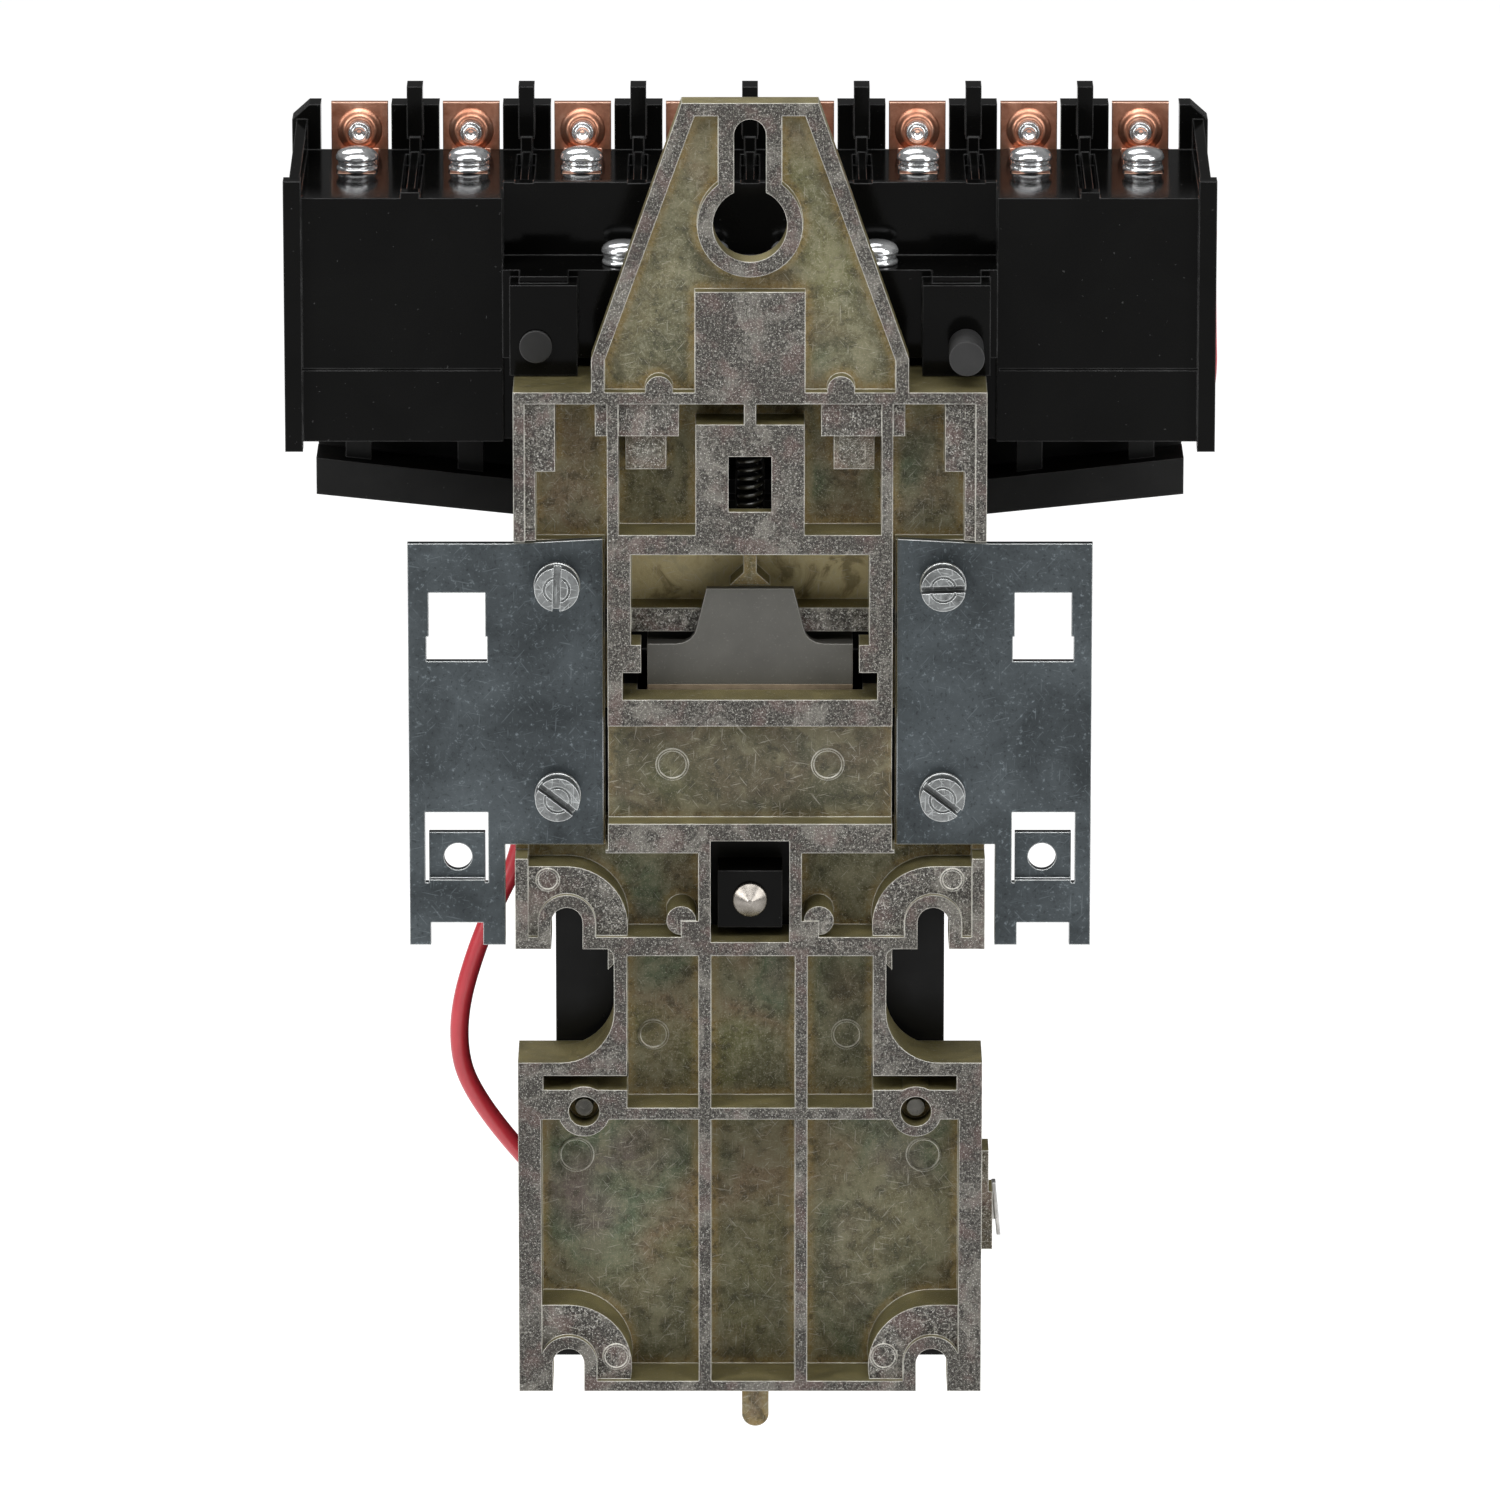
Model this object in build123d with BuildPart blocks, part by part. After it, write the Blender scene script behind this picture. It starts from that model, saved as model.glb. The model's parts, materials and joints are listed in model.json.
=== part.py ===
from build123d import *
import math
import os

os.makedirs("parts", exist_ok=True)

# Frame: X to the side, Z up, Y = 0 is the mounting plane, the starter stands in front of it (-Y).
# "Depth" below is the distance in front of the mounting plane, so Y = -depth.

# ---- driving dimensions (mm) ----
frame_half_w = 39.6
frame_top = 76.7
ear_bottom = -19.8
neck_half_w = 23.0
box_top = -39.8
box_bottom = -98.1
box_half_w = 39.3
body_depth = 11.0
box_depth = 13.5
rim = 2.0
tongue_top = 126.0
tongue_half_top = 11.4
tongue_half_base = 26.5
tongue_knee = 82.4
tongue_t = 5.0
tongue_recess = 2.5
keyhole_z = 105.2
keyhole_r = 6.2
keyhole_ring_r = 8.8
slot_r = 2.65
slot_top_z = 120.6
ear_slot_x = 30.9
ear_slot_z = -15.2
foot_slot_z = -93.2
bracket_t = 1.6
bracket_back = 4.5
bracket_screw_x = 32.4
bracket_screw_z = (42.6, 6.1)
tab_hole_x = 49.3
tab_hole_z = -5.7
tab_hole_r = 2.35
pole_pitch = 19.05
pole_count = 8
block_half_w = 76.8
block_top = 105.0
block_bottom = 63.0
block_back = 22.0
ledge_front = 61.0
block_front = 89.0
travel = 4.0
contact_gap = 4.3
fixed_tip_top = 86.0
stack_back = 17.5
stack_front = 33.5
arm_back = 7.4
stem_front = 9.0
bar_back = 9.3
arm_pin_z = 28.2
pole_face_z = 8.0
magnet_gap = 4.2
chamber_back = 31.5
ledge_screw_d = 44.6
second_row_d = 23.2
second_row_x = (7.1, 21.4)
line_screw_z = 108.3
strap_back = 61.2
strap_leg_back = 41.4
leg_t = 1.2
leg_half_w = 3.2
tip_r = 1.8
load_screw_z = 77.0
copper_t = 1.4
copper_w = 9.7
inner_w = 7.6
bridge_z = 91.5
beam_back = 38.0
beam_front = 48.0
beam_half_w = 73.8
spring_axis_d = 6.6
spring_seat = 54.0
spring_head = 67.0
finger_top = 69.6
cover_half_w = 33.0
cover_back = 13.8
cover_front = 80.0
cover_bottom = -60.0
cover_top = 22.0
wire_r = 1.6

pole_x = [(i - (pole_count - 1) / 2) * pole_pitch for i in range(pole_count)]
fin_x = [(i - (pole_count - 2) / 2) * pole_pitch for i in range(pole_count - 1)]
sides = (-1, 1)


def block(x0, x1, z0, z1, d0, d1, mode=Mode.ADD):
    """Box between two X, two Z and two depth values."""
    with Locations(((x0 + x1) / 2, -(d0 + d1) / 2, (z0 + z1) / 2)):
        Box(abs(x1 - x0), abs(d1 - d0), abs(z1 - z0), mode=mode)


def disc(x, z, r, d0, d1, mode=Mode.ADD):
    """Round bar along the depth axis."""
    with Locations(Location((x, -(d0 + d1) / 2, z), (90, 0, 0))):
        Cylinder(r, abs(d1 - d0), mode=mode)


def post(x, d, z0, z1, r, mode=Mode.ADD):
    """Round bar standing along Z."""
    with Locations((x, -d, (z0 + z1) / 2)):
        Cylinder(r, abs(z1 - z0), mode=mode)


def plate(points, d0, d1, mode=Mode.ADD):
    """Closed outline in the rear view, extruded between two depths."""
    with BuildSketch(Plane.XZ.offset(d0), mode=Mode.PRIVATE) as outline:
        with BuildLine():
            Polyline(*points, close=True)
        make_face()
    extrude(outline.sketch, amount=d1 - d0, mode=mode)


def side_profile(points, x0, x1, mode=Mode.ADD):
    """Closed outline given as (depth, z) pairs, extruded between two X values."""
    with BuildSketch(Plane.YZ.offset(x0), mode=Mode.PRIVATE) as outline:
        with BuildLine():
            Polyline(*[(-d, z) for d, z in points], close=True)
        make_face()
    extrude(outline.sketch, amount=x1 - x0, mode=mode)


def ring_mark(x, z, r, d):
    """Faint ring left by an ejector pin on a surface at depth d."""
    disc(x, z, r, d - 0.18, d + 0.6)
    disc(x, z, r - 0.4, d - 0.6, d, mode=Mode.SUBTRACT)


def finish(builder, label):
    builder.part.label = label
    export_step(builder.part, f"parts/{label}.step")


# ---- zinc die-cast base: tongue, frame, magnet window, pad, ears, neck and lower box ----
with BuildPart() as base_casting:
    with BuildSketch(Plane.XZ) as silhouette:
        with BuildLine():
            Polyline(
                (frame_half_w, frame_top), (frame_half_w, ear_bottom), (neck_half_w, ear_bottom),
                (neck_half_w, box_top), (box_half_w, box_top), (box_half_w, box_bottom),
                (-box_half_w, box_bottom), (-box_half_w, box_top), (-neck_half_w, box_top),
                (-neck_half_w, ear_bottom), (-frame_half_w, ear_bottom), (-frame_half_w, frame_top),
                close=True,
            )
        make_face()
        fillet(silhouette.vertices().sort_by_distance((neck_half_w, box_top, 0))[0], radius=9)
        fillet(silhouette.vertices().sort_by_distance((-neck_half_w, box_top, 0))[0], radius=9)
        fillet(silhouette.vertices().sort_by_distance((neck_half_w, ear_bottom, 0))[0], radius=1.5)
        fillet(silhouette.vertices().sort_by_distance((-neck_half_w, ear_bottom, 0))[0], radius=1.5)
    extrude(amount=body_depth)
    block(-box_half_w, box_half_w, box_bottom, box_top, body_depth - 1, box_depth)
    block(-frame_half_w, frame_half_w, frame_top - rim, frame_top, body_depth - 1, 20)
    block(-22, 22, 31.5, 52, body_depth - 1, 17.5)
    # tongue
    plate(
        [
            (tongue_half_top, tongue_top), (tongue_half_base, tongue_knee), (tongue_half_base, frame_top - 1),
            (-tongue_half_base, frame_top - 1), (-tongue_half_base, tongue_knee), (-tongue_half_top, tongue_top),
        ],
        0, tongue_t,
    )
    # upper pockets either side of the spring plate
    for s in sides:
        block(s * 23.9, s * 37.7, 50, 74.7, 0, 9, mode=Mode.SUBTRACT)
        block(s * 32.6, s * 38, 62.9, 75, 1, 9.5)
        block(s * 35.9, s * 38, 50, 63.5, 1, 9.5)
        block(s * 9.1, s * 22.0, 52.2, 74.7, 0, 8, mode=Mode.SUBTRACT)
        block(s * 11.9, s * 25.9, 69.0, 75, 1, 9.5)
        block(s * 14.0, s * 20.8, 63.1, 69.5, 2, 8.5)
        block(s * 1.0, s * 9.1, 71.2, 74.7, 0, 8, mode=Mode.SUBTRACT)
        block(s * 24.3, s * 41, -4.0, 51.0, -1, bracket_back + bracket_t, mode=Mode.SUBTRACT)
        block(s * 23.9, s * 24.4, -2.4, 51.0, -1, 9, mode=Mode.SUBTRACT)
        # tapped holes for the bracket screws
        for z in bracket_screw_z:
            disc(s * bracket_screw_x, z, 4.2, 6.1, 13.0)
            disc(s * bracket_screw_x, z, 2.0, 0, 14, mode=Mode.SUBTRACT)
    # spring window and its tunnel
    block(-3.6, 3.6, 56.2, 65.7, -1, 20, mode=Mode.SUBTRACT)
    block(-5.5, 5.5, 54.0, 70.2, 2.4, 21, mode=Mode.SUBTRACT)
    block(-5.5, 5.5, 51.0, 70.2, 10.6, 21, mode=Mode.SUBTRACT)
    # pocket above the magnet window, with a small rib and boss
    block(-20, 20, 37.3, 48.8, 0, 15.5, mode=Mode.SUBTRACT)
    block(-1.1, 1.1, 42.0, 49.4, 9.4, 16)
    plate([(-1.1, 43.4), (1.1, 43.4), (3.4, 41.2), (-3.4, 41.2)], 9.4, 16)
    # magnet window below a bar that the armature stem slides over
    block(-20, 20, 33.2, 37.4, 0, bar_back, mode=Mode.SUBTRACT)
    block(-20, 20, 28.4, 33.2, -1, 18, mode=Mode.SUBTRACT)
    for s in sides:
        block(s * 18.3, s * 20.2, 28.4, 33.2, 0, 7)
    block(-21.4, 21.4, 23.7, 28.4, -1, 18, mode=Mode.SUBTRACT)
    block(-19, 19, 18.0, 24, 7.0, 12, mode=Mode.SUBTRACT)
    # pad channel
    block(-23.9, 23.9, 2.1, 19.1, 0, 4.5, mode=Mode.SUBTRACT)
    block(-24.5, 24.5, 1.2, 20.0, 9.0, 12, mode=Mode.SUBTRACT)
    # lower window for the guide block
    block(-6.65, 6.65, -18.6, -0.9, -1, 14, mode=Mode.SUBTRACT)
    # ears
    for s in sides:
        block(s * 8.7, s * 37.4, -17.7, -3.0, 0, 8, mode=Mode.SUBTRACT)
        disc(s * 31.0, -16.0, 10.4, 1, 9)
        block(s * 31.0, s * 37.6, -16, -5.6, 1, 9)
        ring_mark(s * 34.1, -7.9, 2.0, 1)
        disc(s * ear_slot_x, ear_slot_z, 4.85, 0, 9)
        block(s * (ear_slot_x - 4.85), s * (ear_slot_x + 4.85), ear_bottom, ear_slot_z, 0, 9)
        block(s * frame_half_w, s * 50, -30, 0, -1, 20, mode=Mode.SUBTRACT)
        block(s * 24, s * 50, -34, ear_bottom, -1, 20, mode=Mode.SUBTRACT)
        disc(s * ear_slot_x, ear_slot_z, slot_r, -1, 14, mode=Mode.SUBTRACT)
        block(s * (ear_slot_x - slot_r), s * (ear_slot_x + slot_r), -30, ear_slot_z, -1, 14, mode=Mode.SUBTRACT)
        disc(s * 11.6, -14.9, 2.5, 0.3, 9)
        block(s * 8.6, s * 11.6, -17.8, -14.9, 0, 9)
    # neck and lower box pockets
    block(-7.6, 6.6, -47.75, -21.0, 0, 8, mode=Mode.SUBTRACT)
    block(-7.6, 6.6, -96.3, -49.8, 0, 10, mode=Mode.SUBTRACT)
    for s, inner in ((1, 8.7), (-1, 9.7)):
        block(s * inner, s * 20.8, -47.75, -21.0, 0, 8, mode=Mode.SUBTRACT)
        block(s * inner, s * 35.4, -96.3, -49.8, 0, 10, mode=Mode.SUBTRACT)
        block(s * 20.7, s * 35.0, -44.6, -42.1, 0, 10, mode=Mode.SUBTRACT)
        disc(s * 31.0, -94.0, 10.9, 1.2, 10.5)
        block(s * 31.0, s * 35.6, -94.0, -83.1, 1.2, 10.5)
        ring_mark(s * 22.8, -92.3, 2.3, 1.2)
        disc(s * ear_slot_x, foot_slot_z, 4.85, 0, 10.5)
        block(s * (ear_slot_x - 4.85), s * (ear_slot_x + 4.85), box_bottom, foot_slot_z, 0, 10.5)
        block(s * 36.6, s * box_half_w, box_bottom, -85.0, 0, 10.5)
        block(s * 10, s * 60, -112, box_bottom, -1, 20, mode=Mode.SUBTRACT)
        block(s * box_half_w, s * 60, -112, -80, -1, 20, mode=Mode.SUBTRACT)
        disc(s * ear_slot_x, foot_slot_z, slot_r, -1, 20, mode=Mode.SUBTRACT)
        block(s * (ear_slot_x - slot_r), s * (ear_slot_x + slot_r), -112, foot_slot_z, -1, 20, mode=Mode.SUBTRACT)
        # ejector marks on the pocket floors and on the pad
        ring_mark(s * 16.4, -37.1, 2.6, 8)
        ring_mark(s * 29.6, -59.0, 3.0, 10)
        ring_mark(s * 13.1, 11.3, 2.75, 4.5)
        # bosses for the coil cover screws
        disc(s * 28.1, -48.4, 4.4, 0, 10.5)
        disc(s * 28.1, -48.4, 2.6, -1, 5.0, mode=Mode.SUBTRACT)
        disc(s * 28.1, -48.4, 1.55, -1, 20, mode=Mode.SUBTRACT)
    # rests for the magnet core on the front side
    block(-15, 15, -33.5, -27, 9, 17.5)
    block(-3.2, 1.4, -104.0, box_bottom + 1, 6, 10)
    disc(-0.9, -104.0, 2.3, 6, 10)
    block(-box_half_w - 1.2, -box_half_w + 1, -63.2, -55.9, 2, 9)
    block(-box_half_w - 1.9, -box_half_w + 1, -73.4, -63.2, 2, 9)
    # tongue recess with its raised ring, slot bars and pad
    inset = 2.2
    plate(
        [
            (tongue_half_top - inset, tongue_top - inset), (tongue_half_base - inset, tongue_knee - 0.4),
            (tongue_half_base - inset, frame_top), (-tongue_half_base + inset, frame_top),
            (-tongue_half_base + inset, tongue_knee - 0.4), (-tongue_half_top + inset, tongue_top - inset),
        ],
        0, tongue_recess, mode=Mode.SUBTRACT,
    )
    disc(0, keyhole_z, keyhole_ring_r, 0, tongue_t)
    block(-5.3, 5.3, keyhole_z, tongue_top - 0.5, 0, tongue_t)
    block(-9.2, 9.2, frame_top - 1, 93.9, 0, tongue_t)
    for s in sides:
        disc(s * 15.2, 77.2, 2.3, 0, tongue_t)
    disc(0, keyhole_z, keyhole_r, -1, 8, mode=Mode.SUBTRACT)
    block(-slot_r, slot_r, keyhole_z, slot_top_z, -1, 8, mode=Mode.SUBTRACT)
    disc(0, slot_top_z, slot_r, -1, 8, mode=Mode.SUBTRACT)
finish(base_casting, "base_casting")

# ---- steel side brackets ----
for side, label in ((1, "side_bracket_left"), (-1, "side_bracket_right")):
    with BuildPart() as bracket:
        d0 = bracket_back
        d1 = bracket_back + bracket_t
        xs = [(24.7, 50.4), (40.2, 49.6), (57.5, 49.6), (57.5, -20.3), (53.9, -20.3), (53.9, -16.4),
              (45.1, -16.4), (45.1, -20.3), (41.3, -20.3), (41.3, -2.7), (24.7, -2.7)]
        plate([(side * x, z) for x, z in xs], d0, d1)
        block(side * 44.5, side * 54.0, 33.4, 41.1, d0 - 1, d1 + 1, mode=Mode.SUBTRACT)
        block(side * 44.2, side * 54.4, 29.2, 33.5, d0 - 1, d1 + 1, mode=Mode.SUBTRACT)
        block(side * 44.2, side * 54.8, -9.4, 2.9, d0 - 1, d1 + 1, mode=Mode.SUBTRACT)
        block(side * 44.7, side * 54.2, -9.4, -0.9, d1 - 0.4, d1 + 1.2)
        block(side * 44.7, side * 54.2, -10.4, -8.9, d0, d1 + 1.2)
        disc(side * tab_hole_x, tab_hole_z + 0.55, tab_hole_r, d0 - 1, d1 + 4, mode=Mode.SUBTRACT)
        for z in bracket_screw_z:
            disc(side * bracket_screw_x, z, 2.25, d0 - 1, d1 + 1, mode=Mode.SUBTRACT)
    finish(bracket, label)

# ---- slotted cheese-head screws that hold the brackets ----
screw_turns = {(1, 0): 88, (1, 1): -38, (-1, 0): 2, (-1, 1): -38}
with BuildPart() as bracket_screws:
    for s in sides:
        for row, z in enumerate(bracket_screw_z):
            disc(s * bracket_screw_x, z, 3.75, 0.5, bracket_back - 0.9)
            disc(s * bracket_screw_x, z, 3.9, bracket_back - 0.9, bracket_back)
            disc(s * bracket_screw_x, z, 1.97, bracket_back, 12.4)
            disc(s * bracket_screw_x, z, 2.3, 0.2, 0.9, mode=Mode.SUBTRACT)
            disc(s * bracket_screw_x, z, 1.95, 0.5, 1.2)
            with Locations(Location((s * bracket_screw_x, -0.9, z), (0, screw_turns[(s, row)], 0))):
                Box(9, 3.2, 1.2, mode=Mode.SUBTRACT)
finish(bracket_screws, "bracket_screws")

# ---- eight-pole contact housing ----
wall = 1.7
with BuildPart() as contact_housing:
    block(-block_half_w, block_half_w, block_bottom, block_top, block_back, ledge_front)
    block(-block_half_w, block_half_w, block_bottom, 97.0, ledge_front, block_front)
    # centre section: stepped back above its ledge, standing proud below it
    block(-41.6, 41.6, 78.4, block_top + 1.5, block_back, block_back + 7.2, mode=Mode.SUBTRACT)
    block(-41.6, 41.6, 78.4, 93.6, 18.0, block_back + 7.4)
    block(-41.6, 41.6, 93.6, block_top + 1.2, block_back + 7.2, block_back + 9.0)
    block(-41.6, 41.6, block_bottom - 1, 78.4, block_back - 1, block_back + 2.2, mode=Mode.SUBTRACT)
    # one chamber per pole, deep behind the ledge and low in front of it
    for x in pole_x:
        block(x - 7.8, x + 7.8, block_bottom - 3, 102.9, chamber_back, ledge_front, mode=Mode.SUBTRACT)
        block(x - 7.8, x + 7.8, block_bottom - 3, 94.9, ledge_front - 1, block_front - wall, mode=Mode.SUBTRACT)
    # channel, ridge, post and barrier fin between neighbouring terminal pads
    for x in fin_x:
        rear = block_back if abs(x) > 42 else block_back + 7.2
        block(x - 1.6, x + 1.6, 103.0, block_top + 2, block_back - 1, 57, mode=Mode.SUBTRACT)
        block(x - 1.6, x + 1.6, 102.5, 106.0, rear, rear + 3)
        block(x - 0.7, x + 0.7, 102.5, 105.4, rear + 2, 57.5)
        block(x - 0.95, x + 0.95, 102.5, 108.0, 56.6, 62)
        block(x - 1.35, x + 1.35, 107.6, 116.7, 57, 62)
        block(x - 4.1, x + 4.1, 96, 112.9, 60.4, 65.5)
        side_profile([(65, 96), (65, 112.5), (block_front - 2, 106.5), (block_front - 2, 96)], x - 1.3, x + 1.3)
    # end walls with their shoulders and rear flanges
    for s in sides:
        side_profile([(block_back, 100), (block_back, 108.2), (62, 110.4), (62, 100)], s * 75.6, s * 77.4)
        plate([(s * 73.3, 96), (s * 73.3, 112.9), (s * 75.3, 112.9), (s * 78.2, 110.3), (s * 78.2, 96)], 60.4, 65.5)
        side_profile([(62, 96), (62, 110.4), (block_front - 2, 106.5), (block_front - 2, 96)], s * 75.0, s * 76.8)
        block(s * 75.4, s * 78.4, 61.6, 108.2, 20.4, 24.0)
    # mounting lugs that stand on the frame's top edge
    for s in sides:
        block(s * 28.9, s * 40.3, 76.9, 92.4, 11.5, 18.5)
        block(s * 30.5, s * 38.7, 92.4, 93.6, 13.0, 18.5)
    # grooves and slots for the straps, holes for the screws
    for x in pole_x:
        block(x - 4.95, x + 4.95, block_top - leg_t, 108, ledge_front - 0.1, ledge_front + 1, mode=Mode.SUBTRACT)
        block(x - 3.3, x + 3.3, block_top - leg_t, 108, strap_leg_back - 0.1, ledge_front, mode=Mode.SUBTRACT)
        block(x - 4.3, x + 4.3, 94, 106, ledge_front - 0.1, 63.0, mode=Mode.SUBTRACT)
        block(x - 4.3, x + 4.3, 83.0, 85.1, block_front - 3, block_front + 1, mode=Mode.SUBTRACT)
        disc(x, load_screw_z, 1.8, block_front - 3, block_front + 1, mode=Mode.SUBTRACT)
        post(x, ledge_screw_d, 100, 110, 1.7, mode=Mode.SUBTRACT)
    # open floor above the carrier
    block(-74.6, 74.6, 60, 64.6, chamber_back, block_front - wall, mode=Mode.SUBTRACT)
    # notch for the wire, seam line and holes of the second screw row
    block(-80, -71, 91.0, 114, 77.5, 87.3, mode=Mode.SUBTRACT)
    for s in sides:
        block(s * 42, s * 80, 75.3, 75.6, block_back - 1, block_back + 0.3, mode=Mode.SUBTRACT)
        for x in second_row_x:
            post(s * x, second_row_d, 86.0, 95, 1.7, mode=Mode.SUBTRACT)
finish(contact_housing, "contact_housing")

# ---- insulating barrier that hangs under the housing in front of the beam ----
with BuildPart() as barrier_plate:
    block(-beam_half_w, beam_half_w, 47.8, 64.6, 50.0, 52.0)
finish(barrier_plate, "barrier_plate")

with BuildPart() as lug_pegs:
    disc(35.9, 82.0, 2.75, 10.7, 11.5)
    disc(-36.2, 82.0, 2.95, 2.0, 11.5)
finish(lug_pegs, "lug_pegs")

# ---- line and load conductors, one strip per pole ----
with BuildPart() as line_conductors:
    for x in pole_x:
        block(x - copper_w / 2, x + copper_w / 2, block_top - leg_t, 113.1, strap_back, strap_back + copper_t)
        block(x - leg_half_w, x + leg_half_w, block_top - leg_t, block_top, strap_leg_back, strap_back + 0.2)
        block(x - inner_w / 2, x + inner_w / 2, 100.0, block_top + 0.3, strap_back, strap_back + copper_t)
        block(x - inner_w / 2, x + inner_w / 2, 100.0, 101.4, 32.2, strap_back + 0.2)
        block(x - inner_w / 2, x + inner_w / 2, 83.4, 101.0, 32.2, 33.6)
        block(x - inner_w / 2, x + inner_w / 2, 83.4, 84.8, 32.2, 39.0)
        disc(x, line_screw_z, 2.7, strap_back - 0.9, strap_back + 0.1)
        disc(x, line_screw_z, tip_r, strap_back - 4, strap_back + 4, mode=Mode.SUBTRACT)
        post(x, ledge_screw_d, block_top - 2, block_top + 3, 1.5, mode=Mode.SUBTRACT)
finish(line_conductors, "line_conductors")

with BuildPart() as load_conductors:
    for x in pole_x:
        block(x - inner_w / 2, x + inner_w / 2, 83.4, 84.8, 47.0, 92.0)
        block(x - inner_w / 2, x + inner_w / 2, 71.5, 84.8, 90.6, 92.0)
        disc(x, load_screw_z, 1.5, 85, 95, mode=Mode.SUBTRACT)
finish(load_conductors, "load_conductors")

with BuildPart() as fixed_contact_tips:
    for x in pole_x:
        for d in (36.6, 49.4):
            post(x, d, 84.8, fixed_tip_top, 2.2)
finish(fixed_contact_tips, "fixed_contact_tips")


# ---- pan-head screw with its two washers, standing on z = 0 ----
with BuildPart() as pan_screw:
    with Locations((0, 0, 0.4)):
        Cylinder(3.4, 0.8)
    fillet(pan_screw.edges().filter_by(GeomType.CIRCLE), radius=0.32)
    with Locations((0, 0, 1.1)):
        Cylinder(3.1, 0.6)
    with BuildSketch(Plane.XY.offset(1.4)):
        Circle(3.5)
    extrude(amount=1.9)
    fillet(pan_screw.faces().sort_by(Axis.Z)[-1].edges(), radius=1.3)
    with Locations((0, 0, 3.1)):
        Box(3.6, 0.9, 1.6, mode=Mode.SUBTRACT)
        Box(0.9, 3.6, 1.6, mode=Mode.SUBTRACT)

# ---- screws of the housing: one per pole on the strap leg and the second row below ----
with BuildPart() as housing_screws:
    for x in pole_x:
        with Locations((x, -ledge_screw_d, block_top)):
            add(pan_screw.part)
        post(x, ledge_screw_d, 101.6, block_top, 1.5)
    for s in sides:
        for x in second_row_x:
            with Locations((s * x, -second_row_d, 93.6)):
                add(pan_screw.part)
            post(s * x, second_row_d, 86.5, 93.6, 1.7)
finish(housing_screws, "housing_screws")

with BuildPart() as line_terminal_screws:
    for x in pole_x:
        disc(x, line_screw_z, tip_r, strap_back - 2.6, strap_back + copper_t)
        disc(x, line_screw_z, tip_r - 0.45, strap_back - 3.1, strap_back - 2.5)
        disc(x, line_screw_z, 0.8, strap_back - 3.5, strap_back - 2.7, mode=Mode.SUBTRACT)
        disc(x, line_screw_z, 3.4, strap_back + copper_t, strap_back + copper_t + 3)
        block(x - 4, x + 4, line_screw_z - 0.5, line_screw_z + 0.5, 64.6, 67, mode=Mode.SUBTRACT)
finish(line_terminal_screws, "line_terminal_screws")

with BuildPart() as load_terminal_screws:
    for x in pole_x:
        disc(x, load_screw_z, 1.5, 83.0, 92.1)
        block(x - 3.7, x + 3.7, load_screw_z - 3.7, load_screw_z + 3.7, 92.0, 93.2)
        disc(x, load_screw_z, 3.4, 93.2, 96.4)
        block(x - 4, x + 4, load_screw_z - 0.5, load_screw_z + 0.5, 95.2, 97, mode=Mode.SUBTRACT)
finish(load_terminal_screws, "load_terminal_screws")

# ---- moving carrier: chevron beam, eight posts, yoke and spring arm ----
with BuildPart() as crossbar:
    w = beam_half_w
    plate(
        [(-w, 56.3), (-40, 52.5), (40, 52.5), (w, 56.3), (w, 49.95), (40, 46.4), (-40, 46.4), (-w, 49.95)],
        beam_back, beam_front,
    )
    for x in pole_x:
        block(x - 2.2, x + 2.2, 50, bridge_z, 41.0, 45.0)
        post(x, 43.0, bridge_z - 1, 97.2, 1.1)
        post(x, 43.0, 96.4, 97.4, 2.3)
    block(-7, 7, 26.5, 50, stack_front, beam_front)
    block(-2.4, 2.4, 50, 60, 24, 42)
    block(-2.4, 2.4, 56, 60, 11.0, 26)
    block(-2.4, 2.4, 56, finger_top, 11.0, 13.6)
    block(-2.4, 2.4, spring_head, finger_top, 3.4, 13.6)
    disc(0, arm_pin_z, 1.6, stack_front - 1, beam_front + 1, mode=Mode.SUBTRACT)
finish(crossbar, "crossbar")

with BuildPart() as contact_bridges:
    for x in pole_x:
        block(x - 3.4, x + 3.4, bridge_z, bridge_z + 1.5, 34.8, 51.8)
        post(x, 43.0, bridge_z - 1, bridge_z + 3, 1.15, mode=Mode.SUBTRACT)
finish(contact_bridges, "contact_bridges")

with BuildPart() as moving_contact_tips:
    for x in pole_x:
        for d in (36.8, 49.4):
            post(x, d, fixed_tip_top + contact_gap, bridge_z, 2.0)
finish(moving_contact_tips, "moving_contact_tips")


def coil_spring(x, d, z0, z1, mean_r, wire_radius, pitch):
    """Helical spring standing along Z with ground, closed-looking ends."""
    path = Helix(pitch=pitch, height=z1 - z0 - 2 * wire_radius, radius=mean_r, center=(x, -d, z0 + wire_radius))
    with BuildSketch(Plane(origin=path @ 0, z_dir=path % 0), mode=Mode.PRIVATE) as section:
        Circle(wire_radius)
    sweep(section.sketch, path=path, is_frenet=True)


with BuildPart() as contact_springs:
    for x in pole_x:
        coil_spring(x, 43.0, bridge_z + 1.5, 96.4, 1.75, 0.3, 1.3)
finish(contact_springs, "contact_springs")

with BuildPart() as kickout_spring:
    coil_spring(0, spring_axis_d, spring_seat, spring_head, 2.05, 0.45, 1.55)
finish(kickout_spring, "kickout_spring")

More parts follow.
